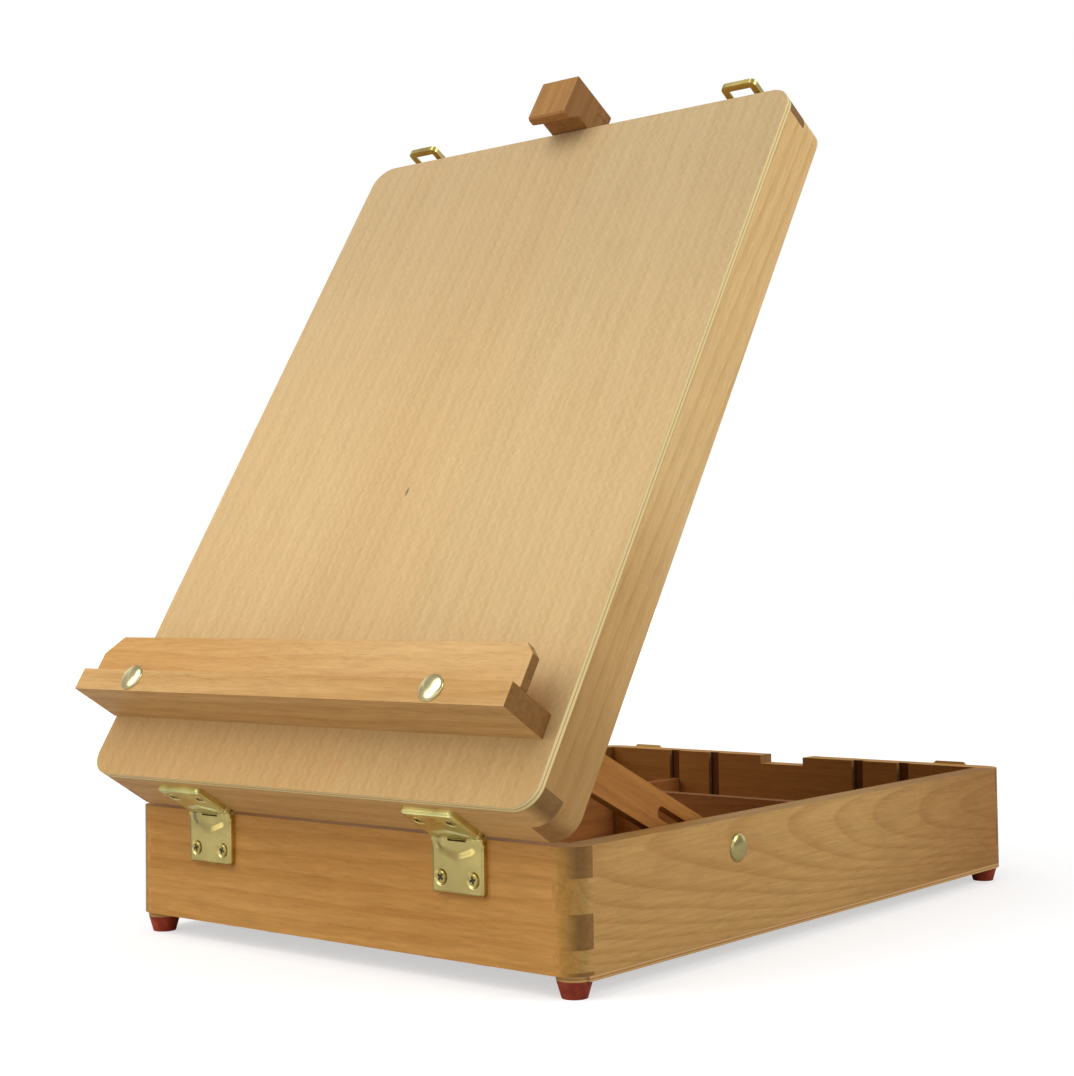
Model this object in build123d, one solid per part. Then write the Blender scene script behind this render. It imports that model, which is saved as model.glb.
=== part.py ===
"""Table box easel: a shallow beech box whose lid opens on two front hinges and
stands up as the easel. Modelled in mm, feet on z = 0, lid open as in the photograph.

Everything is drawn first with the box's front face on y = 0 and the lid shut.
The lid's pieces are then turned about the hinge pin, and all of it is moved
so that the origin lies under the middle of the whole open easel.
"""
from build123d import *
import math
import os

# box
WIDTH, DEPTH = 280.0, 386.0
WALL = 12.0
CORNER_R = 12.0
FOOT_H = 7.5
BOTTOM_T = 2.5
BOX_H = 55.0
RIM = FOOT_H + BOX_H
FLOOR = FOOT_H + BOTTOM_T
FRONT_FINGERS = [(42.0, 55.0), (13.0, 27.5), (2.5, 4.0)]
BOTTOM_INSET = 9.5
NOTCH_W, NOTCH_DEPTH = 30.0, 5.0
GROOVE_W, GROOVE_DEPTH = 7.4, 3.0
GROOVE_X = (-79.7, -49.7, 52.3, 82.3)
DIVIDER_T, DIVIDER_TOP = 7.0, FOOT_H + 37.5
CROSS_Y = 310.0

# lid
LID_GAP = 0.1
LID_RIM = RIM + LID_GAP
PLY_T = 4.1
FRAME_H = 27.7
LAP_SPLIT = 14.2
OPEN_ANGLE = 58.0

# hinges
PIN_Y, PIN_Z = -1.6, RIM + 0.4
PIN_R, KNUCKLE_R = 0.8, 1.55
HINGE_X = {"left": -80.4, "right": 78.6}
LEAF_W, LEAF_FAR, LEAF_NEAR = 29.2, 24.4, 1.8
LEAF_OFF, LEAF_SHEET = 3.0, 0.9

# canvas ledge, measured in the lid's own u (up the lid) and v (out of its face)
LEDGE_X, LEDGE_LEN = -4.0, 275.0
BAR_U0, BAR_U1 = 30.7, 41.9
BAR_OUT = 27.9
SLAT_IN, SLAT_T, SLAT_UP = 17.6, 5.2, 20.8
SLAT_SHORT, SLAT_CUT_LEFT, SLAT_CUT_RIGHT = 2.2, 9.2, 5.2
LEDGE_BOLT_X, LEDGE_BOLT_U = (-102.3, 91.2), 37.7

# canvas holder
HOLDER_W = 24.5
STEM_W, STEM_T, STEM_LEN = 24.0, 7.0, 270.0
HOLDER_TOP = DEPTH + 20.0
HEAD_BACK, HEAD_FRONT = FRAME_H - 9.5, FRAME_H + PLY_T + 19.2
GUIDE_U, GUIDE_LEN, GUIDE_W = 255.0, 12.0, 48.0

# lid struts
BOLT_Y, BOLT_Z = 118.0, RIM - 13.4
PIVOT_U, PIVOT_V = 36.7, 10.0
STRUT_W, STRUT_T, STRUT_X0 = 17.8, 6.0, 120.0
SLOT_W, SLOT_FROM, SLOT_TO = 5.6, 76.0, 134.0
BOLT_R, BOLT_HEAD_R, BOLT_HEAD_H = 2.45, 6.5, 2.6
PIVOT_HEAD_R = 5.0
LOOSE_FIT, RUN_FIT = 0.15, 0.06

# latches
LATCH_X = {"left": -109.0, "right": 106.0}
LOOP_U, LOOP_V = DEPTH + 6.5, 11.0
LOOP_W, LOOP_TOP, LOOP_BAR = 20.0, 34.2, 3.6
CATCH_TOP, HOOK_Z = 1.3, -8.0

# feet
FOOT_X, FOOT_Y = 9.2, 10.6
FOOT_R_TOP, FOOT_R_BOTTOM = 7.7, 5.5

# places the origin under the middle of the open easel
FRONT_Y = -179.428

HALF_W = WIDTH / 2
OUT = "parts"
os.makedirs(OUT, exist_ok=True)


def block(x0, x1, y0, y1, z0, z1):
    """Plain box between two corners."""
    return Pos((x0 + x1) / 2, (y0 + y1) / 2, (z0 + z1) / 2) * Box(x1 - x0, y1 - y0, z1 - z0)


def rod(radius, p, axis, length):
    """Cylinder that starts at p and runs along +X, +Y or +Z."""
    turn = {"X": Rot(0, 90, 0), "Y": Rot(-90, 0, 0), "Z": Rot(0, 0, 0)}[axis]
    start = Pos(*p) * turn
    return start * Pos(0, 0, length / 2) * Cylinder(radius, length)


def rounded_slab(z0, z1, inset=0.0):
    """Slab over the box's plan, with its four corners rounded."""
    plan = RectangleRounded(WIDTH - 2 * inset, DEPTH - 2 * inset, max(CORNER_R - inset, 0.5))
    return Pos(0, DEPTH / 2, z0) * extrude(plan, z1 - z0)


def frame_ring(z0, z1):
    """Four-sided frame as one ring."""
    hollow = block(-HALF_W + WALL, HALF_W - WALL, WALL, DEPTH - WALL, z0 - 1, z1 + 1)
    return rounded_slab(z0, z1) - hollow


def split_ring(ring, z0, long_fingers):
    """Cuts a ring into front, rear, left and right boards that finger into each other."""
    z_low, z_high = ring.bounding_box().min.Z, ring.bounding_box().max.Z
    corners = Part()
    for sx in (-1, 1):
        for y in (0.0, DEPTH - WALL):
            x0, x1 = sorted((sx * HALF_W, sx * (HALF_W - WALL)))
            for low, high in long_fingers:
                corners += block(x0, x1, y, y + WALL, z0 + low, z0 + high)
    middle = block(-HALF_W + WALL, HALF_W - WALL, -1, DEPTH + 1, z_low, z_high)
    ends = ring & (middle + corners)
    sides = ring - (middle + corners)
    front = ends & block(-HALF_W, HALF_W, -1, WALL + 1, z_low, z_high)
    rear = ends & block(-HALF_W, HALF_W, DEPTH - WALL - 1, DEPTH + 1, z_low, z_high)
    left = sides & block(-HALF_W - 1, 0, -1, DEPTH + 1, z_low, z_high)
    right = sides & block(0, HALF_W + 1, -1, DEPTH + 1, z_low, z_high)
    return front, rear, left, right


def carriage_bolt(length):
    """Round-headed bolt along +Z: head's underside on z = 0, shank below it."""
    step = BOLT_HEAD_H / 2
    head = Pos(0, 0, step / 2) * Cone(BOLT_HEAD_R, 0.84 * BOLT_HEAD_R, step)
    head += Pos(0, 0, 1.5 * step) * Cone(0.84 * BOLT_HEAD_R, 0.4 * BOLT_HEAD_R, step)
    return head + Pos(0, 0, -length / 2) * Cylinder(BOLT_R, length)


def wing_nut():
    """Wing nut along +Z, seated on z = 0, with two raised ears along X."""
    hub = Pos(0, 0, 3.2) * Cylinder(4.6, 6.4)
    outline = Polyline((7.0, 10.6), (3.4, 6.0), (3.4, 1.2), (7.4, 1.2), (13.6, 6.2))
    ear_edge = outline + ThreePointArc((13.6, 6.2), (12.0, 13.8), (7.0, 10.6))
    one = extrude(Plane.XZ * make_face(ear_edge), 0.9, both=True)
    return hub + one + Rot(0, 0, 180) * one - Pos(0, 0, 3) * Cylinder(BOLT_R + RUN_FIT, 20)


def hex_nut():
    """Plain nut along +Z, seated on z = 0."""
    body = extrude(RegularPolygon(4.0, 6, major_radius=False), 4.0)
    return body - Pos(0, 0, 2) * Cylinder(BOLT_R + 0.02, 10)


def hinge_leaf(side):
    """Dished pressed leaf, below the pin for side -1 and above it for side 1."""
    z0, z1 = sorted((side * LEAF_NEAR, side * LEAF_FAR))
    shell = block(-LEAF_W / 2, LEAF_W / 2, -LEAF_OFF, 0, z0, z1)
    far_corners = shell.edges().filter_by(Axis.Y).group_by(Axis.Z)[-1 if side > 0 else 0]
    shell = fillet(far_corners, 2.0)
    rolled = shell.faces().sort_by(Axis.Y)[0].edges()
    near_edge = rolled.group_by(Axis.Z)[0 if side > 0 else -1]
    shell = chamfer([e for e in rolled if e not in near_edge], 0.8)
    s = LEAF_SHEET
    low, high = sorted((side * (LEAF_NEAR + s), side * (LEAF_FAR - s)))
    leaf = shell - block(-LEAF_W / 2 + s, LEAF_W / 2 - s, -LEAF_OFF + s, 1, low, high)
    for x0, x1 in [(-5.0, 5.0)] if side > 0 else [(-LEAF_W / 2, -5.3), (5.3, LEAF_W / 2)]:
        web0, web1 = sorted((side * 0.8, side * (LEAF_NEAR + 0.5)))
        leaf += rod(KNUCKLE_R, (x0, PIN_Y, 0), "X", x1 - x0)
        leaf += block(x0, x1, -LEAF_OFF, -LEAF_OFF + s, web0, web1)
    if side > 0:
        return leaf - rod(PIN_R + RUN_FIT, (-LEAF_W, PIN_Y, 0), "X", 2 * LEAF_W)
    return leaf + rod(PIN_R, (-LEAF_W / 4, PIN_Y, 0), "X", LEAF_W / 2)


def strut():
    """Slotted bar in the Y-Z plane: pivot head on the origin, bar along +Y, thick along +X."""
    bar = block(0, STRUT_T, 0, SLOT_TO, -STRUT_W / 2, STRUT_W / 2)
    slot = block(-1, STRUT_T + 1, SLOT_FROM, SLOT_TO, -SLOT_W / 2, SLOT_W / 2)
    for y in (0, SLOT_TO):
        bar += rod(STRUT_W / 2, (0, y, 0), "X", STRUT_T)
    for y in (SLOT_FROM, SLOT_TO):
        slot += rod(SLOT_W / 2, (-1, y, 0), "X", STRUT_T + 2)
    return bar - slot + rod(PIVOT_HEAD_R, (-1.6, 0, 0), "X", 1.6)


def latch_loop():
    """Pressed hasp frame, hinge axis on the origin, reaching up along +Z, outside on +Y."""
    half, reach, sheet = LOOP_W / 2, LOOP_TOP - LOOP_V, 0.9
    outer = block(-half, half, 0, 2.7, 3.0, reach)
    outer = fillet(outer.edges().filter_by(Axis.Y).group_by(Axis.Z)[-1], 3.0)
    inner = block(-half + sheet, half - sheet, sheet, 3, 2.0, reach - sheet)
    window = block(-half + LOOP_BAR, half - LOOP_BAR, -1, 3, 6.5, reach - LOOP_BAR)
    frame = outer - inner - window
    for x0 in (-half, half - sheet):
        eye = block(x0, x0 + sheet, -2.2, 2.2, -2.2, 4)
        frame += chamfer(eye.edges().filter_by(Axis.X).group_by(Axis.Z)[0], 1.2)
    return frame - rod(1.16, (-half - 1, 0, 0), "X", 2 * half + 2)


def latch_plate():
    """Lid half of the latch: plate on y = 0 with two lugs whose studs carry the loop."""
    off = LOOP_U - DEPTH
    plate = block(-9.0, 9.0, 0, 1.2, -6.0, 11.0)
    plate = chamfer(plate.edges().filter_by(Axis.Y), 1.2)
    for side, x0 in ((-1, -8.85), (1, 7.65)):
        lug = block(x0, x0 + 1.2, 0.4, off + 2.2, -2.2, 2.2)
        plate += chamfer(lug.edges().filter_by(Axis.X).group_by(Axis.Y)[-1], 1.2)
        plate += rod(1.1, (-10.3 if side < 0 else 8.0, off, 0), "X", 2.3)
    return plate


def catch_plate():
    """Box half of the latch: plate on y = 0 with its rim on z = 0 and a hook in the middle."""
    plate = block(-10.0, 10.0, 0, 1.2, -17.0, CATCH_TOP)
    plate = chamfer(plate.edges().filter_by(Axis.Y), 1.2)
    arm = block(-4.6, 4.6, 0.6, 8.0, HOOK_Z + 1.6, HOOK_Z + 3.4)
    return plate + arm + block(-4.6, 4.6, 6.9, 8.0, HOOK_Z, HOOK_Z + 3.4)


def rubber_foot():
    """Tapered bumper on z = 0."""
    return Pos(0, 0, FOOT_H / 2) * Cone(FOOT_R_BOTTOM, FOOT_R_TOP, FOOT_H)


def mirror_x(shape):
    return mirror(shape, about=Plane.YZ)


base, lid, holder, loops = {}, {}, {}, {}

# box walls
box_ring = frame_ring(FLOOR, RIM)
front, rear, left, right = split_ring(box_ring, FOOT_H, FRONT_FINGERS)
rear -= block(-NOTCH_W / 2, NOTCH_W / 2, DEPTH - WALL - 1, DEPTH + 1, RIM - NOTCH_DEPTH, RIM + 1)
for gx in GROOVE_X:
    x0, x1 = gx - GROOVE_W / 2, gx + GROOVE_W / 2
    front -= block(x0, x1, WALL - GROOVE_DEPTH, WALL + 1, FLOOR - 1, RIM + 1)
    rear -= block(x0, x1, DEPTH - WALL - 1, DEPTH - WALL + GROOVE_DEPTH, FLOOR - 1, RIM + 1)
bolt_hole = rod(BOLT_R + LOOSE_FIT, (-HALF_W - 1, BOLT_Y, BOLT_Z), "X", WIDTH + 2)
base["wall_front"] = front
base["wall_rear"] = rear
base["wall_left"] = left - bolt_hole
base["wall_right"] = right - bolt_hole
feet_xy = [
    (sx * (HALF_W - FOOT_X), y) for sx in (-1, 1) for y in (FOOT_Y, DEPTH - FOOT_Y)
]
bottom = rounded_slab(FOOT_H, FLOOR) - block(-HALF_W, HALF_W, -1, BOTTOM_INSET, 0, RIM)
for fx, fy in feet_xy:
    bottom += rod(FOOT_R_TOP, (fx, fy, FOOT_H), "Z", BOTTOM_T)
base["bottom_panel"] = bottom

# dividers: two long ones in the outer grooves, and a short one let into both
long_y0, long_y1 = WALL - GROOVE_DEPTH + 0.3, DEPTH - WALL + GROOVE_DEPTH - 0.3
cross_x0, cross_x1 = GROOVE_X[0] + 1.8, GROOVE_X[-1] - 1.8
for name, dx, seat_x in (("left", GROOVE_X[0], cross_x0), ("right", GROOVE_X[-1], cross_x1)):
    board = block(dx - DIVIDER_T / 2, dx + DIVIDER_T / 2, long_y0, long_y1, FLOOR, DIVIDER_TOP)
    seat0, seat1 = sorted((seat_x + math.copysign(0.3, dx), seat_x - math.copysign(5, dx)))
    board -= block(seat0, seat1, CROSS_Y - 4, CROSS_Y + 4, FLOOR - 1, DIVIDER_TOP + 1)
    base["divider_" + name] = board
cross_y0, cross_y1 = CROSS_Y - DIVIDER_T / 2, CROSS_Y + DIVIDER_T / 2
base["divider_cross"] = block(cross_x0, cross_x1, cross_y0, cross_y1, FLOOR, DIVIDER_TOP)

# feet
base["feet"] = [Pos(fx, fy, 0) * rubber_foot() for fx, fy in feet_xy]

# hinges
for name, hx in HINGE_X.items():
    base["hinge_leaf_box_" + name] = Pos(hx, 0, PIN_Z) * hinge_leaf(-1)
    lid["hinge_leaf_lid_" + name] = Pos(hx, 0, PIN_Z) * hinge_leaf(1)

# lid frame and panel
ply_low = LID_RIM + FRAME_H
lid_ring = frame_ring(LID_RIM, ply_low)
lid_fingers = [(LAP_SPLIT, FRAME_H)]
front, rear, left, right = split_ring(lid_ring, LID_RIM, lid_fingers)
mortise = block(
    -STEM_W / 2 - 0.3, STEM_W / 2 + 0.3, 0, DEPTH + 1, ply_low - STEM_T - 0.5, ply_low + 1
)
lid["lid_rail_front"] = front
lid["lid_rail_rear"] = rear - (mortise & block(-50, 50, DEPTH - 20, DEPTH + 1, 0, 200))
lid["lid_rail_left"] = left
lid["lid_rail_right"] = right
panel = rounded_slab(ply_low, ply_low + PLY_T)
for bx in LEDGE_BOLT_X:
    panel -= rod(BOLT_R + LOOSE_FIT, (bx, LEDGE_BOLT_U, ply_low - 1), "Z", PLY_T + 2)
lid["lid_panel"] = panel
guide = block(
    -GUIDE_W / 2, GUIDE_W / 2, GUIDE_U, GUIDE_U + GUIDE_LEN, ply_low - STEM_T - 7, ply_low
)
lid["holder_guide"] = guide - mortise

# canvas ledge: deep bar with an upright slat in front
face = ply_low + PLY_T
lx0, lx1 = LEDGE_X - LEDGE_LEN / 2, LEDGE_X + LEDGE_LEN / 2
bar = block(lx0, lx1, BAR_U0, BAR_U1, face, face + BAR_OUT)
for bx in LEDGE_BOLT_X:
    bar -= rod(BOLT_R + LOOSE_FIT, (bx, LEDGE_BOLT_U, face - 1), "Z", BAR_OUT + 2)
lid["ledge_bar"] = bar
slat_z = face + SLAT_IN
slat_top = BAR_U1 + SLAT_UP
slat = block(lx0 + SLAT_SHORT, lx1, BAR_U1, slat_top, slat_z, slat_z + SLAT_T)
for x, sx, cut in ((lx0 + SLAT_SHORT, 1, SLAT_CUT_LEFT), (lx1, -1, SLAT_CUT_RIGHT)):
    corner = Polyline((x, slat_top), (x + sx * cut, slat_top), (x, slat_top - cut), close=True)
    slat -= Pos(0, 0, slat_z - 1) * extrude(make_face(corner), SLAT_T + 2)
lid["ledge_slat"] = slat
lid["ledge_bolts"] = [
    Pos(bx, LEDGE_BOLT_U, face + BAR_OUT) * carriage_bolt(BAR_OUT + PLY_T + 7.5)
    for bx in LEDGE_BOLT_X
]
lid["ledge_nuts"] = [
    Pos(bx, LEDGE_BOLT_U, ply_low) * Rot(180, 0, 0) * hex_nut() for bx in LEDGE_BOLT_X
]

# latches
for name, cx in LATCH_X.items():
    lid["latch_plate_" + name] = Pos(cx, DEPTH, LID_RIM + LOOP_V) * latch_plate()
    loops[name] = {"latch_loop_" + name: Pos(cx, LOOP_U, LID_RIM + LOOP_V) * latch_loop()}
    base["catch_" + name] = Pos(cx, DEPTH, RIM) * catch_plate()

# canvas holder: hooked head on a flat stem that slides in the lid
stem_z = ply_low - STEM_T - 0.2
stem_end = HOLDER_TOP - 6.0
holder["holder_stem"] = block(
    -STEM_W / 2, STEM_W / 2, stem_end - STEM_LEN, stem_end, stem_z, stem_z + STEM_T
)
head_back, head_z = LID_RIM + HEAD_BACK, LID_RIM + HEAD_FRONT
profile = Polyline(
    (HOLDER_TOP, head_back),
    (HOLDER_TOP, head_z),
    (DEPTH - 4.3, head_z),
    (DEPTH - 5.3, head_z - 1.0),
    (DEPTH - 5.3, head_z - 5.2),
    (DEPTH + 1.0, head_z - 11.0),
    (DEPTH + 1.0, stem_z + STEM_T),
    (stem_end, stem_z + STEM_T),
    (stem_end, stem_z),
    (DEPTH + 1.0, stem_z),
    (DEPTH + 1.0, head_back),
    close=True,
)
head_plane = Plane(origin=(0, 0, 0), x_dir=(0, 1, 0), z_dir=(1, 0, 0))
head = extrude(head_plane * make_face(profile), HOLDER_W / 2, both=True)
holder["holder_head"] = head

# strut bolts, struts and wing nuts
pin_axis = Axis((0, PIN_Y, PIN_Z), (1, 0, 0))
opened = math.radians(OPEN_ANGLE)
du, dv = PIVOT_U - PIN_Y, LID_RIM + PIVOT_V - PIN_Z
pivot_y = PIN_Y + du * math.cos(opened) - dv * math.sin(opened)
pivot_z = PIN_Z + du * math.sin(opened) + dv * math.cos(opened)
strut_angle = math.degrees(math.atan2(BOLT_Z - pivot_z, BOLT_Y - pivot_y))
to_strut = Pos(STRUT_X0, pivot_y, pivot_z) * Rot(strut_angle, 0, 0)

bolt = Pos(HALF_W, BOLT_Y, BOLT_Z) * Rot(0, 90, 0) * carriage_bolt(34)
lock_nut = Pos(STRUT_X0 + STRUT_T + 0.2, BOLT_Y, BOLT_Z) * Rot(0, 90, 0)
bolt += lock_nut * extrude(RegularPolygon(5.5, 6, major_radius=False), 1.7)
ring_hole = rod(BOLT_R + RUN_FIT, (0, BOLT_Y, BOLT_Z), "X", HALF_W + 5)
washer = rod(6.5, (STRUT_X0 - 1.7, BOLT_Y, BOLT_Z), "X", 1.5) - ring_hole
nut = Pos(STRUT_X0 - 1.9, BOLT_Y, BOLT_Z) * Rot(0, -90, 0) * Rot(0, 0, 60) * wing_nut()
base["strut_bolts"] = [bolt, mirror_x(bolt)]
turning = [
    {"strut_right": to_strut * strut()},
    {"strut_washer_right": washer},
    {"strut_wing_nut_right": nut},
]
turning += [
    {node.replace("right", "left"): mirror_x(shape) for node, shape in group.items()}
    for group in turning
]


def turned(shape):
    """Turns one of the lid's pieces from shut to the photograph's angle."""
    return shape.rotate(pin_axis, OPEN_ANGLE)


def solid_list(shape):
    shapes = shape if isinstance(shape, list) else [shape]
    return [s for one in shapes for s in one.solids()]


def write(group, on_lid):
    """Writes each node's STEP, moved to the shared frame."""
    for node, shape in group.items():
        solids = solid_list(shape)
        if on_lid:
            solids = [turned(s) for s in solids]
        solids = [Pos(0, FRONT_Y, 0) * s for s in solids]
        out = solids[0] if len(solids) == 1 else Compound(children=solids)
        out.label = node
        export_step(out, os.path.join(OUT, node + ".step"))
        everything.extend(solids)


everything = []
for fixed in [base] + turning:
    write(fixed, False)
for moving in (lid, holder, loops["left"], loops["right"]):
    write(moving, True)
size = Compound(everything).bounding_box()
print("bounds", [round(v, 3) for v in (*size.min, *size.max)])
print("middle in y", round((size.min.Y + size.max.Y) / 2, 3))
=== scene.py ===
"""Looks of the table box easel: beech, plywood, pressed brass fittings and soft red feet."""
import math

import bmesh
import bpy
from mathutils import Matrix, Vector


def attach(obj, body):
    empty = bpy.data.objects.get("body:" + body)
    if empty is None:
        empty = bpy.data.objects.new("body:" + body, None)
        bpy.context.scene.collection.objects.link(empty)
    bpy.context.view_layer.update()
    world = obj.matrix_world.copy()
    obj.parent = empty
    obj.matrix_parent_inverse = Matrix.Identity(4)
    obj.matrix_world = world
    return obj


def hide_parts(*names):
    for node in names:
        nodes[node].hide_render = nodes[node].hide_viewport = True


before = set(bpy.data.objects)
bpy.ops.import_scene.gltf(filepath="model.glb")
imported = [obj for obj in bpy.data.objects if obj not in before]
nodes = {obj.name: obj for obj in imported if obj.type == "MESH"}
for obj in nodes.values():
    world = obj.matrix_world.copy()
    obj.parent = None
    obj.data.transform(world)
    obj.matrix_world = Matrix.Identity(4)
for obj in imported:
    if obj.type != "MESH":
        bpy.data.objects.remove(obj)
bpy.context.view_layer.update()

# places of the CAD model, in metres
FRONT_Y = -0.179428
HALF_W, DEPTH, RIM = 0.140, 0.386, 0.0625
PIN_Y, PIN_Z = -0.0016, RIM + 0.0004
LID_TURN = math.radians(58)
LID_GAP, RAIL_H, PLY_T = 0.0001, 0.0277, 0.0041
LID_TOP = RIM + LID_GAP + RAIL_H + PLY_T
BAR_OUT, LEDGE_BOLT_U, LEDGE_BOLT_X = 0.0279, 0.0377, (-0.1023, 0.0912)
BOLT_Y, BOLT_Z, BOLT_R, BOLT_HEAD_R, BOLT_HEAD_H = 0.118, RIM - 0.0134, 0.00245, 0.0065, 0.0026
LOCK_NUT_X, LOCK_NUT_R, LOCK_NUT_T = 0.1262, 0.0055, 0.0017
HINGE_X, LEAF_OFF, LEAF_SCREW_DX, LEAF_SCREW_DZ = (-0.0804, 0.0786), 0.003, 0.0092, 0.0174
LEAF_W, LEAF_FAR = 0.0292, 0.0244
LATCH_X, LATCH_V, PLATE_T = (-0.109, 0.106), 0.0111, 0.0012
LATCH_SCREW_DX, LATCH_SCREW_DZ = (0.0062, 0.0050), (-0.0125, 0.0066)
LEAF_SCREW_R, LATCH_SCREW_R = 0.0024, 0.0021
GROOVE_X, GROOVE_W, GROOVE_Y = (-0.0797, -0.0497, 0.0523, 0.0823), 0.0074, 0.0090
PANEL_Y, PANEL_Z = 0.0095, (0.0075, 0.0100)
LEDGE_BOLT_TAIL = 0.0075

TO_SCENE = Matrix.Translation((0, FRONT_Y, 0))
OPENED = (TO_SCENE @ Matrix.Translation((0, PIN_Y, PIN_Z)) @ Matrix.Rotation(LID_TURN, 4, "X")
          @ Matrix.Translation((0, -PIN_Y, -PIN_Z)))


def srgb(r, g, b):
    """Linear colour from the 0-255 values that a picture shows."""
    def lin(v):
        v /= 255
        return v / 12.92 if v <= 0.04045 else ((v + 0.055) / 1.055) ** 2.4
    return (lin(r), lin(g), lin(b), 1.0)


class Graph:
    """One material's node tree, with short calls for adding and wiring nodes."""

    def __init__(self, name):
        self.material = bpy.data.materials.new(name)
        self.material.use_nodes = True
        self.tree = self.material.node_tree
        self.shader = self.tree.nodes["Principled BSDF"]

    def feed(self, socket, value):
        if isinstance(value, bpy.types.NodeSocket):
            self.tree.links.new(value, socket)
        else:
            socket.default_value = value

    def new(self, kind, inputs, **settings):
        node = self.tree.nodes.new("ShaderNode" + kind)
        for key, value in settings.items():
            setattr(node, key, value)
        for key, value in inputs.items():
            self.feed(node.inputs[key], value)
        return node

    def math(self, operation, a, b=0.0, c=0.0):
        return self.new("Math", {0: a, 1: b, 2: c}, operation=operation).outputs[0]

    def vector(self, operation, a, b=(0, 0, 0)):
        return self.new("VectorMath", {0: a, 1: b}, operation=operation).outputs[1 if operation == "LENGTH" else 0]

    def noise(self, where, stretch, detail=2.0, rough=0.5):
        scaled = self.vector("MULTIPLY", where, stretch)
        node = self.new("TexNoise", {"Vector": scaled, "Scale": 1.0, "Detail": detail, "Roughness": rough})
        return node.outputs["Fac"]

    def remap(self, value, low, high, to_low=0.0, to_high=1.0, smooth=False):
        node = self.new("MapRange", {"Value": value, "From Min": low, "From Max": high,
                                     "To Min": to_low, "To Max": to_high})
        node.interpolation_type = "SMOOTHSTEP" if smooth else "LINEAR"
        return node.outputs["Result"]

    def grey(self, value):
        return self.new("CombineColor", {0: value, 1: value, 2: value}).outputs[0]

    def mix(self, fac, a, b, blend="MIX"):
        node = self.new("Mix", {0: fac, 6: a, 7: b}, data_type="RGBA", blend_type=blend)
        return node.outputs[2]

    def shaded(self, fac, colour, tone):
        """Multiplies a colour by a tone, as far as fac says."""
        return self.mix(fac, colour, self.mix(1.0, colour, tone, "MULTIPLY"))

    def tint(self, tone):
        """Multiplies the colour that the shader has so far."""
        base = self.shader.inputs["Base Color"].links[0].from_socket
        self.feed(self.shader.inputs["Base Color"], self.mix(1.0, base, tone, "MULTIPLY"))

    def bump(self, height, distance, strength=1.0, over=None):
        node = self.new("Bump", {"Height": height, "Distance": distance, "Strength": strength})
        if over is not None:
            self.feed(node.inputs["Normal"], over)
        return node.outputs["Normal"]

    def split(self, vector):
        return self.new("SeparateXYZ", {0: vector}).outputs

    def place(self, turn=0.0):
        """Object coordinates and surface normal, turned back about X into the lid's own axes."""
        source = self.tree.nodes.new("ShaderNodeTexCoord")
        outs = []
        for socket in ("Object", "Normal"):
            node = self.new("Mapping", {"Vector": source.outputs[socket], "Rotation": (-turn, 0, 0)})
            outs.append(node.outputs[0])
        return outs


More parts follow.
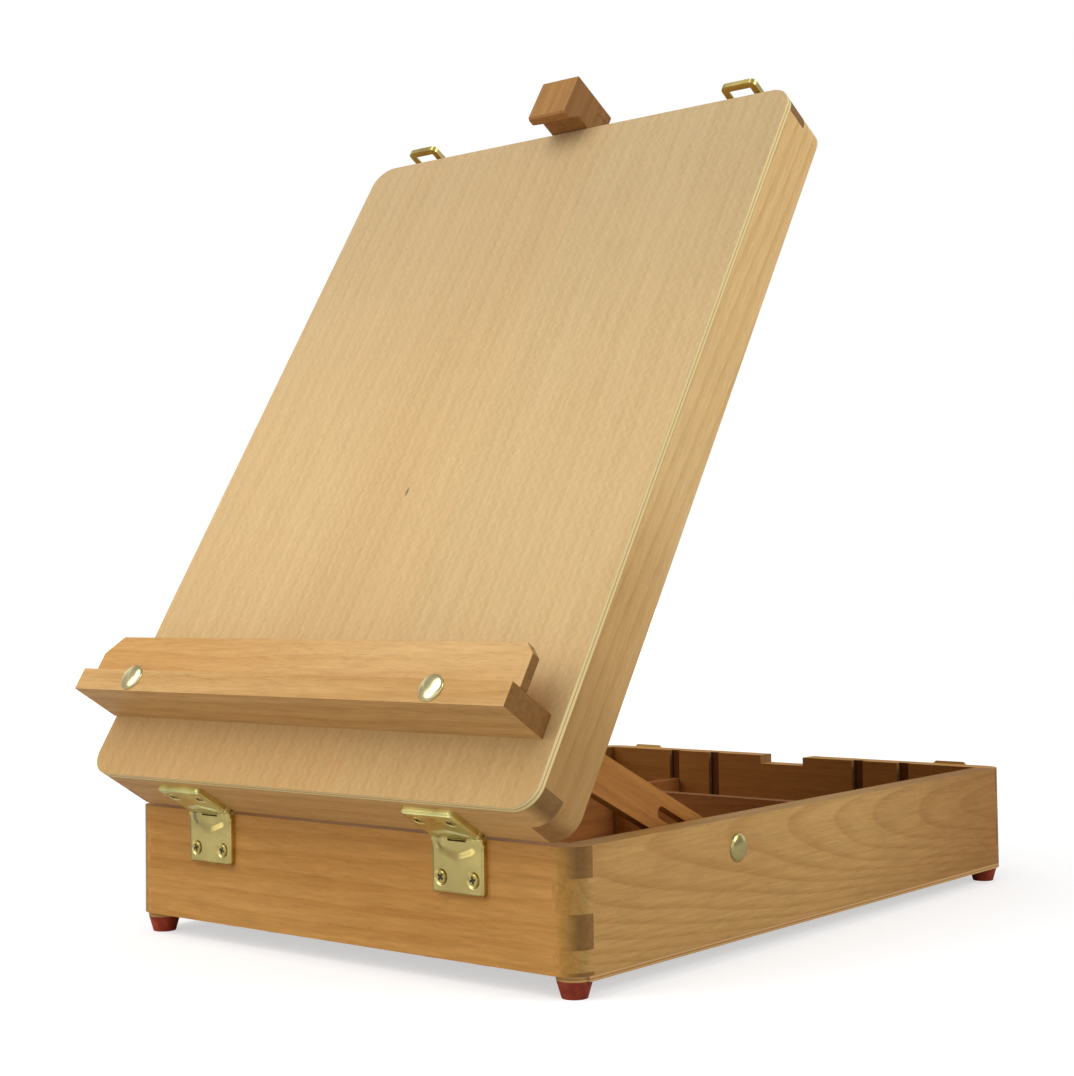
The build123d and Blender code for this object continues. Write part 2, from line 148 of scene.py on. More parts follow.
def wood(name, pale, deep, end, along="Y", turn=0.0, seed=0.0, ring=None, contrast=1.0, ripple=0.0,
         streak=1.0, end_fade=(0.45, 0.8), inside=None, grooves=None, flank=None, corner=None):
    """Beech: slow colour drift, growth lines, fine streaks, short flecks and speckled end grain.

    ring = (where the pith crosses the board's middle, its slopes along the board, ring pitch).
    inside, grooves and flank are painted shade: they darken the faces that point inward, lie in the
    divider grooves, or look sideways. corner darkens the faces that turn round an upright corner.
    """
    g = Graph(name)
    spot, normal = g.place(turn)
    order = {"X": "XYZ", "Y": "YXZ", "Z": "ZXY"}[along]
    xyz = g.split(spot)
    a, b, c = (xyz["XYZ".index(letter)] for letter in order)
    where = g.vector("ADD", g.new("CombineXYZ", {0: a, 1: b, 2: c}).outputs[0], (seed, seed * 1.7, seed * 0.6))

    drift = g.noise(where, (2.5, 13.0, 13.0), 2.0)
    figure = g.noise(where, (7.0, 95.0, 95.0), 3.0, 0.6)
    if ring:
        (b0, c0), (slope_b, slope_c), pitch = ring
        db = g.math("MULTIPLY_ADD", a, slope_b, g.math("SUBTRACT", b, b0))
        dc = g.math("MULTIPLY_ADD", a, slope_c, g.math("SUBTRACT", c, c0))
        wobble = g.noise(where, (5.0, 26.0, 26.0), 2.0)
        reach = g.math("SQRT", g.math("ADD", g.math("MULTIPLY", db, db), g.math("MULTIPLY", dc, dc)))
        reach = g.math("MULTIPLY_ADD", wobble, 0.008, reach)
        year = g.math("FRACT", g.math("DIVIDE", reach, pitch))
    else:
        wobble = g.noise(where, (4.0, 20.0, 20.0), 3.0)
        year = g.math("FRACT", g.math("MULTIPLY_ADD", wobble, 3.0, g.math("DIVIDE", g.math("ADD", b, c), 0.009)))
    late = g.math("MULTIPLY", g.remap(year, 0.50 if ring else 0.30, 0.93), g.remap(year, 1.0, 0.92))

    streaks = g.noise(where, (48.0, 640.0, 640.0), 4.0, 0.70)
    dash = g.noise(where, (150.0, 1700.0, 1700.0), 2.0)
    dashes = g.remap(dash, 0.56, 0.70)
    patchy = g.remap(g.noise(where, (12.0, 60.0, 60.0), 1.0), 0.35, 0.65, 0.35, 1.0)
    dashes = g.math("MULTIPLY", dashes, patchy)

    depth = g.math("MULTIPLY_ADD", g.remap(drift, 0.3, 0.7), 0.50, g.math("MULTIPLY", late, 0.38 if ring else 0.30))
    depth = g.math("MULTIPLY_ADD", g.remap(figure, 0.3, 0.7), 0.14 if ring else 0.30, depth)
    colour = g.mix(g.math("MULTIPLY", depth, contrast), pale, deep)
    shade = g.remap(streaks, 0.30, 0.70, 1.0 + 0.06 * streak, 1.0 - 0.15 * streak)
    shade = g.math("MULTIPLY", shade, g.math("MULTIPLY_ADD", dashes, -0.17 * streak, 1.0))
    if ripple:
        bend = g.math("SINE", g.math("MULTIPLY_ADD", figure, 9.0, g.math("MULTIPLY", a, 2 * math.pi / 0.0066)))
        line = g.math("MULTIPLY_ADD", bend, 1.5, g.math("MULTIPLY", b, 2 * math.pi / 0.0046))
        line = g.math("MULTIPLY_ADD", wobble, 8.0, line)
        wave = g.math("MULTIPLY", g.math("SINE", line), g.remap(figure, 0.35, 0.6, 0.45, 1.0))
        grit = g.noise(where, (420.0, 900.0, 900.0), 2.0)
        wave = g.math("ADD", wave, g.remap(grit, 0.35, 0.65, -0.8, 0.8))
        shade = g.math("MULTIPLY", shade, g.math("MULTIPLY_ADD", wave, ripple, 1.0))
    colour = g.mix(1.0, colour, g.grey(shade), "MULTIPLY")

    axis = g.split(normal)["XYZ".index(along)]
    is_end = g.remap(g.math("ABSOLUTE", axis), *end_fade)
    speck = g.noise(where, (1100.0, 1000.0, 1000.0), 2.0)
    layers = g.remap(g.noise(where, (4.0, 420.0, 420.0), 3.0), 0.3, 0.7, 0.86, 1.10)
    speckle = g.math("MULTIPLY", g.remap(speck, 0.3, 0.7, 0.90, 1.06), layers)
    colour = g.mix(is_end, colour, g.mix(1.0, end, g.grey(speckle), "MULTIPLY"))
    facing = g.split(normal)
    if corner:
        both = g.math("MULTIPLY", g.math("ABSOLUTE", facing["X"]), g.math("ABSOLUTE", facing["Y"]))
        colour = g.shaded(g.remap(both, 0.10, 0.42, smooth=True), colour, corner)
    # flank: painted shade on the faces that look sideways
    if flank:
        side, tone = flank
        colour = g.shaded(g.remap(g.math("ABSOLUTE", facing[side]), 0.7, 0.9), colour, tone)
    # inside: painted shade on the faces that point into the box
    if inside:
        side, tone = inside
        inward = g.remap(g.math("MULTIPLY", g.math("SIGN", xyz[side]), facing[side]), -0.6, -0.9)
        colour = g.shaded(inward, colour, tone)
        # grooves: painted shade on the inner faces that lie in the divider grooves
        if grooves:
            near, far, tone = grooves
            sunk = g.math("MAXIMUM", g.math("LESS_THAN", xyz[side], near), g.math("GREATER_THAN", xyz[side], far))
            colour = g.shaded(g.math("MULTIPLY", inward, sunk), colour, tone)
    g.feed(g.shader.inputs["Base Color"], colour)
    g.feed(g.shader.inputs["Roughness"], g.math("MULTIPLY_ADD", is_end, 0.12, g.remap(streaks, 0.3, 0.7, 0.46, 0.60)))
    g.shader.inputs["Specular IOR Level"].default_value = 0.16
    height = g.math("MULTIPLY_ADD", dashes, -0.8, g.math("MULTIPLY", streaks, -0.8))
    g.feed(g.shader.inputs["Normal"], g.bump(height, 0.00012, 0.6))
    return g


LID_PLIES = ((0.0, (150, 118, 66)), (0.07, (206, 180, 120)), (0.14, (236, 214, 154)), (0.40, (234, 210, 150)),
             (0.46, (200, 162, 104)), (0.56, (196, 156, 98)), (0.62, (238, 218, 160)), (0.90, (232, 208, 148)),
             (1.0, (210, 176, 120)))
BOTTOM_PLIES = ((0.0, (196, 152, 96)), (0.30, (204, 162, 106)), (0.40, (164, 118, 66)), (0.55, (170, 124, 72)),
                (0.62, (208, 166, 110)), (0.92, (200, 156, 100)), (1.0, (130, 92, 48)))


def plywood(g, low, high, turn, stops):
    """Adds the pale and dark layers that show on a plywood panel's edge."""
    spot, normal = g.place(turn)
    share = g.remap(g.split(spot)["Z"], low, high)
    ramp = g.new("ValToRGB", {"Fac": share})
    ramp.color_ramp.elements[0].color = srgb(*stops[0][1])
    ramp.color_ramp.elements[1].color = srgb(*stops[-1][1])
    for position, colour in stops[1:-1]:
        ramp.color_ramp.elements.new(position).color = srgb(*colour)
    face = g.math("ABSOLUTE", g.split(normal)["Z"])
    edge = g.remap(face, 0.7, 0.4)
    base = g.shader.inputs["Base Color"].links[0].from_socket
    g.feed(g.shader.inputs["Base Color"], g.mix(edge, base, ramp.outputs["Color"]))
    return g


def graded(g, axis, turn, stops):
    """Multiplies the colour by tones that change slowly along one axis."""
    spot, _ = g.place(turn)
    value = g.split(spot)[axis]
    tone = stops[0][1]
    for (low, _), (high, colour) in zip(stops, stops[1:]):
        tone = g.mix(g.remap(value, low, high, smooth=True), tone, colour)
    g.tint(tone)
    return g


def veneer(g, seam_x, left, right, fleck):
    """Lays two veneer sheets side by side, with one small dark fleck."""
    spot, _ = g.place(LID_TURN)
    xyz = g.split(spot)
    sway = g.math("MULTIPLY_ADD", g.noise(spot, (8.0, 5.0, 8.0), 1.0), 0.012, xyz["X"])
    side = g.remap(sway, seam_x + 0.004, seam_x + 0.009, smooth=True)
    tone = g.mix(side, left, right)
    off = g.vector("MULTIPLY", g.vector("SUBTRACT", spot, fleck), (1100.0, 330.0, 0.0))
    mark = g.remap(g.vector("LENGTH", off), 0.5, 1.0, 0.45, 1.0)
    tone = g.mix(1.0, tone, g.grey(mark), "MULTIPLY")
    g.tint(tone)
    return g


def brass(name, colour, rough, pressed=0):
    """Plated brass with rolling marks and uneven polish.

    pressed = -1 for a box leaf or 1 for a lid leaf adds its gusset, eased rim and screw dimples.
    """
    g = Graph(name)
    spot, _ = g.place(LID_TURN if pressed > 0 else 0.0)
    cloud = g.noise(spot, (80.0, 80.0, 80.0), 2.0)
    lines = g.noise(spot, (2400.0, 160.0, 160.0), 2.0)
    tint = g.remap(cloud, 0.3, 0.7, 0.82, 1.08)
    base = g.mix(1.0, colour, g.grey(tint), "MULTIPLY")
    height = g.math("MULTIPLY_ADD", lines, 0.20, cloud)
    normal = g.bump(height, 0.00012, 0.12)
    if pressed:
        xyz = g.split(spot)
        pin = OPENED @ Vector((0, PIN_Y, PIN_Z)) if pressed > 0 else Vector((0, PIN_Y + FRONT_Y, PIN_Z))
        pin_z = (Matrix.Rotation(-LID_TURN, 3, "X") @ pin).z if pressed > 0 else pin.z
        middle = sum(HINGE_X) / 2
        across = g.math("SUBTRACT", g.math("ABSOLUTE", g.math("SUBTRACT", xyz["X"], middle)), HINGE_X[1] - middle)
        along = g.math("MULTIPLY", g.math("SUBTRACT", xyz["Z"], pin_z), float(pressed))
        width = g.math("SQRT", g.math("MULTIPLY_ADD", across, across, 5e-6))
        within = g.math("SUBTRACT", g.math("MULTIPLY_ADD", width, -0.36, 0.0112), along)
        gusset = g.remap(within, 0.0, 0.0048, 0.0, 1.0, smooth=True)
        gusset = g.math("MULTIPLY", gusset, g.remap(width, 0.0135, 0.0080, smooth=True))
        normal = g.bump(gusset, 0.0015, 1.0, over=normal)
        inset = g.math("MINIMUM", g.math("SUBTRACT", LEAF_W / 2, g.math("ABSOLUTE", across)),
                       g.math("SUBTRACT", LEAF_FAR, along))
        inset = g.math("MAXIMUM", inset, g.math("SUBTRACT", 0.005, along))
        normal = g.bump(g.remap(inset, 0.0002, 0.0016, smooth=True), 0.0006, 1.0, over=normal)
        for side in (-1, 1):
            dx = g.math("MULTIPLY_ADD", across, 1.0, side * LEAF_SCREW_DX)
            dz = g.math("SUBTRACT", along, LEAF_SCREW_DZ)
            reach = g.math("SQRT", g.math("MULTIPLY_ADD", dx, dx, g.math("MULTIPLY", dz, dz)))
            dimple = g.remap(reach, 0.0026, 0.0038, 0.0, 1.0, smooth=True)
            normal = g.bump(dimple, 0.0006, 1.0, over=normal)
    g.feed(g.shader.inputs["Base Color"], base)
    g.shader.inputs["Metallic"].default_value = 1.0
    g.feed(g.shader.inputs["Roughness"], g.remap(cloud, 0.3, 0.7, rough * 0.75, rough * 1.25))
    g.feed(g.shader.inputs["Normal"], normal)
    return g


def rubber(name):
    """Soft dark red bumper with a faintly mottled skin, and painted light that makes the left feet lighter."""
    g = Graph(name)
    spot, _ = g.place()
    cloud = g.noise(spot, (260.0, 260.0, 260.0), 3.0)
    g.feed(g.shader.inputs["Base Color"], g.mix(g.remap(cloud, 0.35, 0.65), srgb(128, 42, 20), srgb(156, 58, 30)))
    # painted light: the feet lighter towards the left
    graded(g, "X", 0.0, ((-0.12, (1.35, 1.30, 1.25, 1)), (0.10, (1, 1, 1, 1))))
    g.shader.inputs["Specular IOR Level"].default_value = 0.3
    g.feed(g.shader.inputs["Roughness"], g.remap(cloud, 0.3, 0.7, 0.42, 0.58))
    g.feed(g.shader.inputs["Normal"], g.bump(cloud, 0.0002, 0.3))
    return g


def recess(name):
    """Painted shade on the bottom of a cross recess, mottled with a little dirt."""
    g = Graph(name)
    spot, _ = g.place()
    cloud = g.noise(spot, (900.0, 900.0, 900.0), 2.0)
    g.feed(g.shader.inputs["Base Color"], g.mix(cloud, srgb(38, 30, 14), srgb(74, 58, 28)))
    g.feed(g.shader.inputs["Roughness"], g.remap(cloud, 0.3, 0.7, 0.45, 0.7))
    return g


def paint(graph, *names):
    """Gives CAD nodes a material."""
    for name in names:
        mesh = nodes[name].data
        mesh.materials.clear()
        mesh.materials.append(graph.material)


# materials of the wooden parts
END_DARK = srgb(142, 104, 58)
END_SOFT = srgb(196, 142, 74)
END_LID = srgb(179, 135, 82)
END_BAR = srgb(138, 97, 50)
CORNER = (0.80, 0.83, 0.76, 1)

face = wood("lid_face", srgb(220, 189, 139), srgb(203, 167, 114), END_LID, "Y", LID_TURN, 0.3, contrast=0.75,
            ripple=0.034, streak=0.55)
veneer(face, 0.028, (1.0, 0.985, 0.96, 1), (0.985, 1.0, 0.99, 1), (-0.0045, 0.1159, 0.0))
# painted shade: the lid face darker and more amber at its lower end under the ledge, and darker towards the top
graded(face, "Y", LID_TURN, ((-0.03, (0.84, 0.75, 0.62, 1)), (0.01, (0.97, 0.94, 0.90, 1)), (0.12, (1, 1, 1, 1)),
                             (0.33, (0.82, 0.84, 0.89, 1))))
lid_v = [(Matrix.Rotation(-LID_TURN, 3, "X") @ v.co).z for v in nodes["lid_panel"].data.vertices]
plywood(face, min(lid_v), max(lid_v), LID_TURN, LID_PLIES)
paint(face, "lid_panel")
bottom = wood("bottom_ply", srgb(214, 178, 124), srgb(190, 150, 98), END_LID, "Y", 0.0, 2.1)
bottom_z = [v.co.z for v in nodes["bottom_panel"].data.vertices]
plywood(bottom, min(bottom_z), max(bottom_z), 0.0, BOTTOM_PLIES)
paint(bottom, "bottom_panel")

rail_rings = ((0.128, 0.185), (0.0, 0.05), 0.0075)
rail = wood("rail_side", srgb(240, 206, 148), srgb(214, 170, 106), srgb(206, 162, 108), "Y", LID_TURN, 1.3, rail_rings)
# painted shade: the side rails darker towards the lid's lower end
graded(rail, "Y", LID_TURN, ((-0.01, (0.56, 0.46, 0.34, 1)), (0.05, (0.76, 0.67, 0.56, 1)), (0.14, (1, 1, 1, 1))))
paint(rail, "lid_rail_left", "lid_rail_right")
paint(wood("rail_end", srgb(222, 176, 112), srgb(196, 146, 84), srgb(136, 100, 58), "X", LID_TURN, 3.1),
      "lid_rail_front", "lid_rail_rear")
# painted shade for the wall faces inside the box and in the divider grooves
painted_inside_shade = srgb(186, 163, 134)
painted_groove_shade = srgb(160, 138, 120)
paint(wood("wall_end", srgb(214, 160, 88), srgb(184, 128, 60), END_DARK, "X", 0.0, 0.9, streak=1.15,
           inside=("Y", painted_inside_shade), grooves=(-0.1680, 0.1952, painted_groove_shade), corner=CORNER),
      "wall_front", "wall_rear")
side_rings = ((0.170, 0.051), (0.07, 0.03), 0.0033)
side = wood("wall_side", srgb(206, 162, 98), srgb(174, 126, 66), END_SOFT, "Y", 0.0, 1.9, side_rings, streak=1.15,
            inside=("X", painted_inside_shade), corner=CORNER)
# painted shade: the side walls darker towards the rear
graded(side, "Y", 0.0, ((0.0, (1, 1, 1, 1)), (0.20, (0.66, 0.55, 0.42, 1))))
paint(side, "wall_left", "wall_right")
paint(wood("bar_wood", srgb(222, 180, 120), srgb(194, 146, 84), END_BAR, "X", LID_TURN, 4.4), "ledge_bar")
slat = wood("slat_wood", srgb(222, 180, 120), srgb(202, 156, 96), END_BAR, "X", LID_TURN, 5.7)
graded(slat, "X", LID_TURN, ((-0.13, (0.96, 0.86, 0.70, 1)), (0.06, (1, 1, 1, 1))))
paint(slat, "ledge_slat")
# the holder's sideways faces get painted shade
paint(wood("holder_wood", srgb(184, 138, 80), srgb(154, 106, 54), srgb(160, 112, 62), "Y", LID_TURN, 6.2,
           flank=("X", (0.74, 0.70, 0.64, 1))),
      "holder_head", "holder_stem", "holder_guide")
paint(wood("strut_wood", srgb(186, 126, 60), srgb(152, 96, 40), END_DARK, "Y", -0.45, 7.7),
      "strut_left", "strut_right")
DIVIDER_TONES = srgb(170, 112, 60), srgb(140, 86, 40), END_DARK
paint(wood("divider_wood", *DIVIDER_TONES, "Y", 0.0, 8.3), "divider_left", "divider_right")
paint(wood("cross_wood", *DIVIDER_TONES, "X", 0.0, 9.3), "divider_cross")

PLATE, BRIGHT = srgb(206, 187, 118), srgb(222, 210, 160)
plate = brass("plated_brass", PLATE, 0.30)
bright = brass("bright_brass", BRIGHT, 0.20)
paint(plate, *(n for n in nodes if n.startswith(("catch_l", "catch_r", "latch_plate", "latch_loop"))))
# painted light: the lid leaves get a paler, greener brass than the box leaves of the same hinges
paint(brass("pressed_brass_box", srgb(217, 198, 126), 0.24, -1), "hinge_leaf_box_left", "hinge_leaf_box_right")
paint(brass("pressed_brass_lid", srgb(228, 222, 150), 0.32, 1), "hinge_leaf_lid_left", "hinge_leaf_lid_right")
paint(bright, *(n for n in nodes if n.startswith(("strut_washer", "strut_wing", "ledge_nuts"))))
paint(rubber("red_bumper"), "feet")
# painted shade, with a little dirt, for the screws' cross recesses
recess_shade_and_dirt = recess("cross_recess")


def soften(names, width, segments=2):
    """Eases sharp edges: merges the mesh's split points, then bevels what is sharp."""
    for name in names:
        obj = nodes[name]
        weld = obj.modifiers.new("weld", "WELD")
        weld.merge_threshold = 2e-6
        bevel = obj.modifiers.new("ease", "BEVEL")
        bevel.width, bevel.segments = width, segments
        bevel.limit_method, bevel.angle_limit = "ANGLE", math.radians(50)
        bevel.use_clamp_overlap = True
        bevel.harden_normals = True


soften(("ledge_slat", "holder_head", "strut_left", "strut_right"), 0.0007)
soften(("divider_left", "divider_right", "divider_cross"), 0.0005)
soften(("feet",), 0.0013, 3)


def add_piece(name, bm, body, *materials):
    """Makes a new piece from a bmesh that is already in the scene's place."""
    bmesh.ops.recalc_face_normals(bm, faces=bm.faces)
    mesh = bpy.data.meshes.new(name)
    bm.to_mesh(mesh)
    bm.free()
    obj = bpy.data.objects.new(name, mesh)
    bpy.context.scene.collection.objects.link(obj)
    for graph in materials:
        mesh.materials.append(graph.material)
    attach(obj, body)
    return obj


def lathe(bm, profile, place, steps=64):
    """Turns (radius, height) points about Z into a closed body and moves it by a matrix."""
    rings = []
    for radius, height in profile:
        if radius == 0:
            rings.append([bm.verts.new(place @ Vector((0, 0, height)))])
            continue
        angles = (2 * math.pi * i / steps for i in range(steps))
        rings.append([bm.verts.new(place @ Vector((radius * math.cos(t), radius * math.sin(t), height)))
                      for t in angles])
    for low, high in zip(rings, rings[1:]):
        for i in range(steps):
            j = (i + 1) % steps
            corners = [low[i % len(low)], low[j % len(low)], high[j % len(high)], high[i % len(high)]]
            face = bm.faces.new(list(dict.fromkeys(corners)))
            face.smooth = True


def bolt(bm, place, length):
    """Round-headed bolt: head's underside on z = 0, shank below it."""
    dome = []
    for i in range(13):
        turn = math.pi / 2 * i / 12
        dome.append((BOLT_HEAD_R * math.cos(turn), 0.0002 + (BOLT_HEAD_H - 0.0007) * math.sin(turn)))
    dome[-1] = (0, dome[-1][1])
    foot = [(0, -length), (BOLT_R - 0.0005, -length), (BOLT_R, -length + 0.0005), (BOLT_R, 0),
            (BOLT_HEAD_R - 0.0002, 0)]
    lathe(bm, foot + dome, place)


def sharpen(obj, degrees):
    """Keeps edges over an angle crisp on a smooth-shaded piece."""
    bm = bmesh.new()
    bm.from_mesh(obj.data)
    for edge in bm.edges:
        if len(edge.link_faces) == 2 and edge.calc_face_angle(0) > math.radians(degrees):
            edge.smooth = False
    bm.to_mesh(obj.data)
    bm.free()


# round-headed bolts
bm = bmesh.new()
for x in LEDGE_BOLT_X:
    seat = Matrix.Translation((x, LEDGE_BOLT_U, LID_TOP + BAR_OUT))
    bolt(bm, OPENED @ seat, BAR_OUT + PLY_T + LEDGE_BOLT_TAIL)
ledge_heads = add_piece("ledge_bolts_domed", bm, "lid", bright)
sharpen(ledge_heads, 40)
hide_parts("ledge_bolts")

bm = bmesh.new()
for side in (-1, 1):
    turn = Matrix.Rotation(side * math.pi / 2, 4, "Y")
    bolt(bm, TO_SCENE @ Matrix.Translation((side * HALF_W, BOLT_Y, BOLT_Z)) @ turn, 0.034)
    seat = TO_SCENE @ Matrix.Translation((side * LOCK_NUT_X, BOLT_Y, BOLT_Z)) @ turn
    corner = LOCK_NUT_R / math.cos(math.pi / 6)
    lathe(bm, [(BOLT_R, 0), (LOCK_NUT_R, 0), (corner, 0.0003), (corner, LOCK_NUT_T - 0.0003),
               (LOCK_NUT_R, LOCK_NUT_T), (BOLT_R, LOCK_NUT_T)], seat, 6)
wall_heads = add_piece("strut_bolts_domed", bm, "base", brass("olive_brass", srgb(200, 184, 122), 0.26))
sharpen(wall_heads, 40)
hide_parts("strut_bolts")


def cross_screw(bm, place, radius=LEAF_SCREW_R, proud=0.0004):
    """Countersunk screw head with a cross recess, seated on z = 0."""
    arm, half = 0.70 * radius, 0.22 * radius
    cross = []
    for k in range(4):
        c, s = math.cos(k * math.pi / 2), math.sin(k * math.pi / 2)
        for x, y in ((arm, -half), (arm, half), (half, half)):
            cross.append((x * c - y * s, x * s + y * c))
    rim = [(math.cos(2 * math.pi * i / 32), math.sin(2 * math.pi * i / 32)) for i in range(32)]

    def loop(points, scale, z):
        return [bm.verts.new(place @ Vector((x * scale, y * scale, z))) for x, y in points]

    def wall(low, high, material=0):
        for i in range(len(low)):
            j = (i + 1) % len(low)
            bm.faces.new((low[i], low[j], high[j], high[i])).material_index = material

    base, edge, top = loop(rim, radius, 0), loop(rim, radius, 0.7 * proud), loop(rim, 0.93 * radius, proud)
    mouth, floor = loop(cross, 1, proud), loop(cross, 0.85, 0.08 * proud)
    wall(base, edge)
    wall(edge, top)
    # the recess's walls and floor take the second material, painted shade
    wall(mouth, floor, 1)
    bm.faces.new(floor).material_index = 1
    edges = [bm.edges.get((ring[i], ring[(i + 1) % len(ring)])) or bm.edges.new((ring[i], ring[(i + 1) % len(ring)]))
             for ring in (top, mouth) for i in range(len(ring))]
    bmesh.ops.triangle_fill(bm, use_beauty=True, edges=edges)


# screws of the hinges and latches
box_screws, lid_screws = bmesh.new(), bmesh.new()
to_front = Matrix.Rotation(math.pi / 2, 4, "X")
to_rear = Matrix.Rotation(-math.pi / 2, 4, "X")
for n, hx in enumerate(HINGE_X):
    for m, side in enumerate((-1, 1)):
        spin = Matrix.Rotation(0.35 + 0.55 * n + 0.9 * m, 4, "Z")
        x = hx + side * LEAF_SCREW_DX
        cross_screw(box_screws, TO_SCENE @ Matrix.Translation((x, -LEAF_OFF, PIN_Z - LEAF_SCREW_DZ)) @ to_front @ spin)
        cross_screw(lid_screws, OPENED @ Matrix.Translation((x, -LEAF_OFF, PIN_Z + LEAF_SCREW_DZ)) @ to_front @ spin,
                    proud=0.0002)
for n, cx in enumerate(LATCH_X):
    for m, side in enumerate((-1, 1)):
        spin = Matrix.Rotation(0.2 + 0.7 * n + 0.5 * m, 4, "Z")
        box_dx, lid_dx = (side * dx for dx in LATCH_SCREW_DX)
        box_dz, lid_dz = LATCH_SCREW_DZ
        on_box = Matrix.Translation((cx + box_dx, DEPTH + PLATE_T, RIM + box_dz))
        on_lid = Matrix.Translation((cx + lid_dx, DEPTH + PLATE_T, RIM + LATCH_V + lid_dz))
        cross_screw(box_screws, TO_SCENE @ on_box @ to_rear @ spin, LATCH_SCREW_R)
        cross_screw(lid_screws, OPENED @ on_lid @ to_rear @ spin, LATCH_SCREW_R)
add_piece("box_screws", box_screws, "base", plate, recess_shade_and_dirt)
add_piece("lid_screws", lid_screws, "lid", plate, recess_shade_and_dirt)

# the bottom panel's front edge, which closes the slits under the divider grooves
bm = bmesh.new()
for x in GROOVE_X:
    middle = Vector((x, (GROOVE_Y + PANEL_Y) / 2, sum(PANEL_Z) / 2))
    size = Matrix.Diagonal((GROOVE_W, PANEL_Y - GROOVE_Y, PANEL_Z[1] - PANEL_Z[0], 1))
    bmesh.ops.create_cube(bm, size=1, matrix=TO_SCENE @ Matrix.Translation(middle) @ size)
add_piece("bottom_panel_lip", bm, "base", bottom)

# camera, matched to the photograph's vanishing lines
camera_data = bpy.data.cameras.new("camera")
camera = bpy.data.objects.new("camera", camera_data)
bpy.context.scene.collection.objects.link(camera)
right = Vector((0.775365, 0.631358, -0.014052))
up = Vector((0.036770, -0.022921, 0.999061))
back = Vector((0.630443, -0.775153, -0.040987))
camera.matrix_world = Matrix((right, up, back)).transposed().to_4x4()
camera.location = (0.620999, -0.595583 + FRONT_Y, 0.171161)
camera_data.sensor_fit = "HORIZONTAL"
camera_data.sensor_width = 36.0
camera_data.lens = 36.0 * 1883.907 / 1074
camera_data.shift_x = (537 - 562.616) / 1074
camera_data.shift_y = (502.228 - 538) / 1074
camera_data.clip_start, camera_data.clip_end = 0.01, 20
bpy.context.scene.camera = camera


def lamp(name, place, aim, size, power, colour=(1, 1, 1)):
    """Large soft area light."""
    data = bpy.data.lights.new(name, "AREA")
    data.shape, data.size, data.energy, data.color = "DISK", size, power, colour
    obj = bpy.data.objects.new(name, data)
    bpy.context.scene.collection.objects.link(obj)
    obj.location = place
    obj.rotation_euler = (Vector(aim) - Vector(place)).to_track_quat("-Z", "Y").to_euler()
    return obj


lamp("top", (-0.35, -1.25, 1.9), (0, 0, 0.2), 1.6, 19)
lamp("front", (-1.0, -1.9, 1.1), (0, 0, 0.2), 1.4, 11)
lamp("side", (1.4, 0.45, 0.9), (0.14, 0.0, 0.25), 0.9, 10)

world = bpy.data.worlds.new("studio")
bpy.context.scene.world = world
world.use_nodes = True
wn, wl = world.node_tree.nodes, world.node_tree.links
wn.clear()


def world_node(kind, **settings):
    node = wn.new(kind)
    for key, value in settings.items():
        setattr(node, key, value)
    return node


path = world_node("ShaderNodeLightPath")
straight = world_node("ShaderNodeMath", operation="MAXIMUM")
seen = world_node("ShaderNodeMath", operation="MAXIMUM")
wl.new(path.outputs["Is Camera Ray"], straight.inputs[0])
wl.new(path.outputs["Is Transmission Ray"], straight.inputs[1])
wl.new(straight.outputs[0], seen.inputs[0])
wl.new(path.outputs["Is Glossy Ray"], seen.inputs[1])
sky = world_node("ShaderNodeTexCoord")
toward = world_node("ShaderNodeVectorMath", operation="DOT_PRODUCT")
toward.inputs[1].default_value = (0.10, -0.80, 0.60)
wl.new(sky.outputs["Generated"], toward.inputs[0])
level = world_node("ShaderNodeMapRange")
for key, value in (("From Min", -1), ("From Max", 1), ("To Min", 0.16), ("To Max", 0.66)):
    level.inputs[key].default_value = value
wl.new(toward.outputs["Value"], level.inputs["Value"])
white, soft = world_node("ShaderNodeBackground"), world_node("ShaderNodeBackground")
white.inputs["Color"].default_value = (1, 1, 1, 1)
white.inputs["Strength"].default_value = 1.0
soft.inputs["Color"].default_value = (1, 1, 1, 1)
wl.new(level.outputs["Result"], soft.inputs["Strength"])
pick = world_node("ShaderNodeMixShader")
wl.new(seen.outputs[0], pick.inputs[0])
wl.new(soft.outputs[0], pick.inputs[1])
wl.new(white.outputs[0], pick.inputs[2])
wl.new(pick.outputs[0], world_node("ShaderNodeOutputWorld").inputs[0])


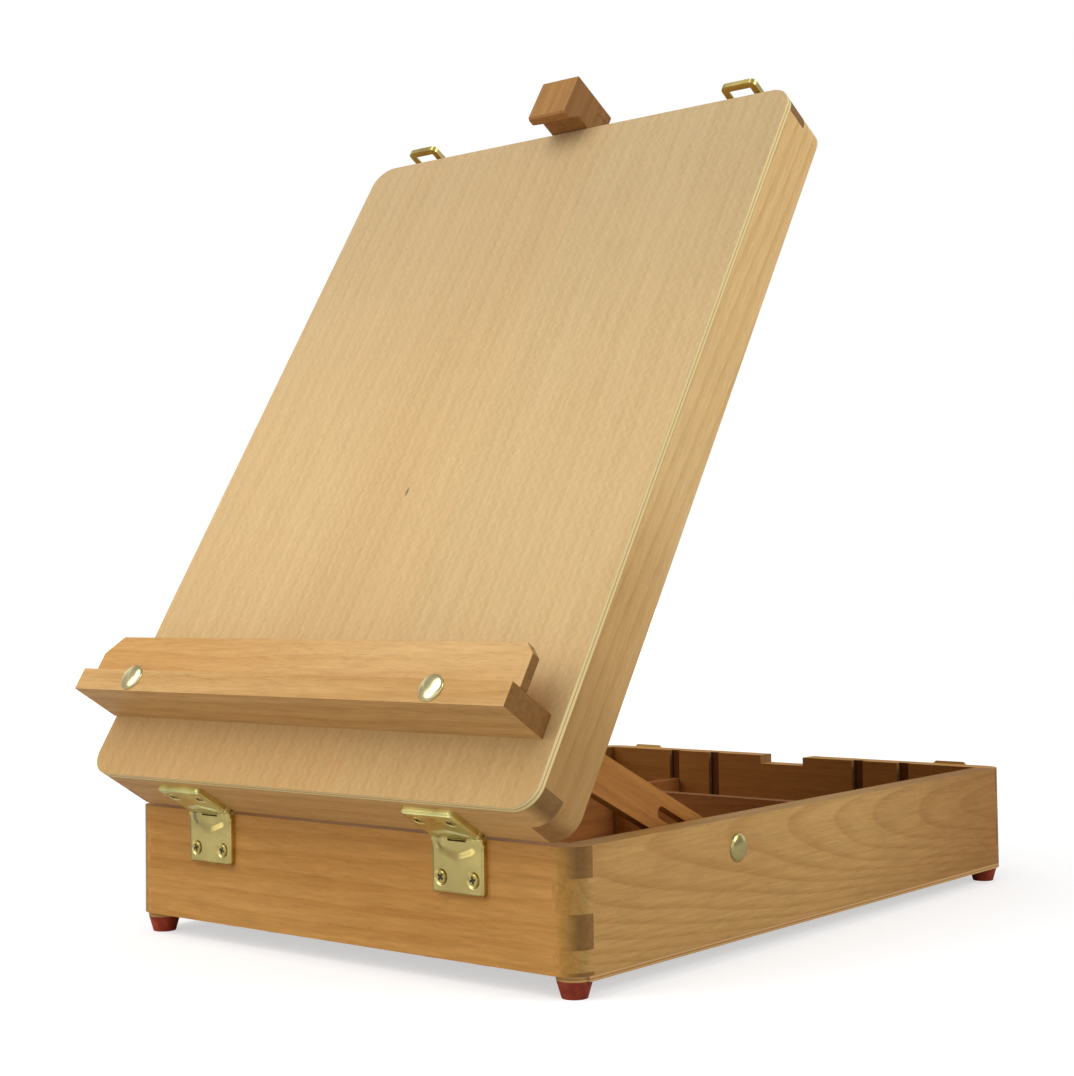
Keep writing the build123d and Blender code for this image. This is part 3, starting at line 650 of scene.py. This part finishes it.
def stage_sheet(name, size, place, turn=(0, 0, 0)):
    """Flat square for the floor or a studio card."""
    mesh = bpy.data.meshes.new(name)
    bm = bmesh.new()
    bmesh.ops.create_grid(bm, x_segments=1, y_segments=1, size=size / 2)
    bm.to_mesh(mesh)
    bm.free()
    obj = bpy.data.objects.new(name, mesh)
    bpy.context.scene.collection.objects.link(obj)
    obj.location, obj.rotation_euler = place, turn
    return obj


# floor: pale, white to the camera, and it keeps the object's shadow
floor = stage_sheet("floor", 16, (0, 0, 0))
fg = Graph("floor_white")
fg.shader.inputs["Base Color"].default_value = (0.55, 0.55, 0.55, 1)
fg.shader.inputs["Roughness"].default_value = 0.9
rays = fg.new("LightPath", {})
fg.shader.inputs["Emission Color"].default_value = (1, 1, 1, 1)
ground, _ = fg.place()
outward = fg.remap(fg.vector("LENGTH", ground), 0.45, 2.2, 0.55, 1.0, smooth=True)
fg.feed(fg.shader.inputs["Emission Strength"], fg.math("MULTIPLY", rays.outputs["Is Camera Ray"], outward))
floor.data.materials.append(fg.material)

# studio cards that only glossy reflections show: four large grey ones around the object, and two
# small bright ones on the floor that put a streak on each box leaf's gusset
for name, size, place, turn, strength in (
        ("card_left", 3.2, (-2.6, -1.6, 0.3), (math.radians(90), 0, math.radians(-58)), 0.50),
        ("card_right", 3.2, (2.6, 1.8, 0.3), (math.radians(90), 0, math.radians(-55)), 0.30),
        ("card_rear", 4.5, (-2.3, 2.9, 0.6), (math.radians(90), 0, math.radians(38)), 0.35),
        ("card_top", 7.0, (-0.5, -0.5, 2.8), (0, 0, 0), 0.42),
        ("card_low_left", 0.045, (-0.114, -0.242, 0.002), (0, 0, 0), 1.5),
        ("card_low_right", 0.045, (0.058, -0.242, 0.002), (0, 0, 0), 1.5)):
    card = Graph(name)
    card.shader.inputs["Base Color"].default_value = (0.02, 0.02, 0.02, 1)
    card.shader.inputs["Roughness"].default_value = 1.0
    card.shader.inputs["Emission Color"].default_value = (1, 0.98, 0.92, 1)
    card.shader.inputs["Emission Strength"].default_value = strength
    sheet = stage_sheet(name, size, place, turn)
    sheet.data.materials.append(card.material)
    sheet.visible_camera = sheet.visible_diffuse = sheet.visible_shadow = sheet.visible_transmission = False

bpy.context.scene.view_settings.view_transform = "Standard"
